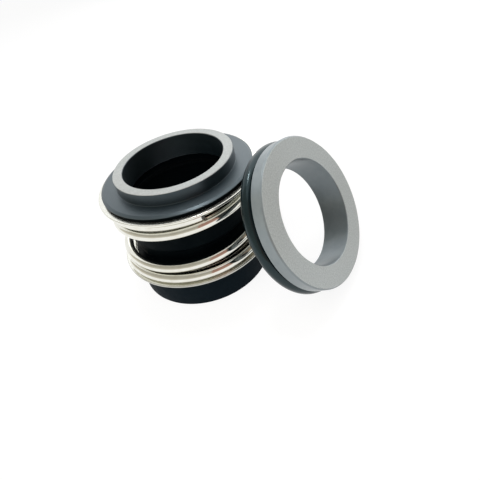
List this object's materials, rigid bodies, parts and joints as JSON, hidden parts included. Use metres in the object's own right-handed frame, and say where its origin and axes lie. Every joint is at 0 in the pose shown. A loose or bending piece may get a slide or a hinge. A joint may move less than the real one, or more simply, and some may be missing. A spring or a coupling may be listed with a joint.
{
  "type": "mechanical shaft seal",
  "caption": "Rubber-bellows shaft seal set: a spring-loaded rotating head standing on its tail, with a stationary seat ring and O-ring leaning on it.",
  "frame": {"origin": "on the shaft axis, in the plane of the rubber tail's end that the head stands on", "axes": "+Z along the shaft axis from the tail towards the rotating sealing face; the seat leans on the +X, -Y side"},
  "size_m": [0.0744, 0.0571, 0.041],
  "materials": {
    "carbide_light": "matte",
    "carbide_grey": "matte",
    "rubber": "satin",
    "o_ring_rubber": "satin",
    "stainless": "polished",
    "spring_wire": "polished"
  },
  "bodies": {
    "tail": {"tail_drive_ring": "stainless", "rubber_bellows": "rubber", "coil_spring": "spring_wire", "seat_ring": "carbide_grey", "seat_o_ring": "o_ring_rubber"},
    "head": {"face_ring": "carbide_light", "head_drive_ring": "stainless"}
  },
  "joints": [
    {"name": "head_slide", "type": "slide", "parent": "tail", "child": "head", "axis": [0, 0, -1], "range_m": [0, 0.006], "stiffness_N_per_m": 5800, "deforming": ["coil_spring", "rubber_bellows"]}
  ]
}
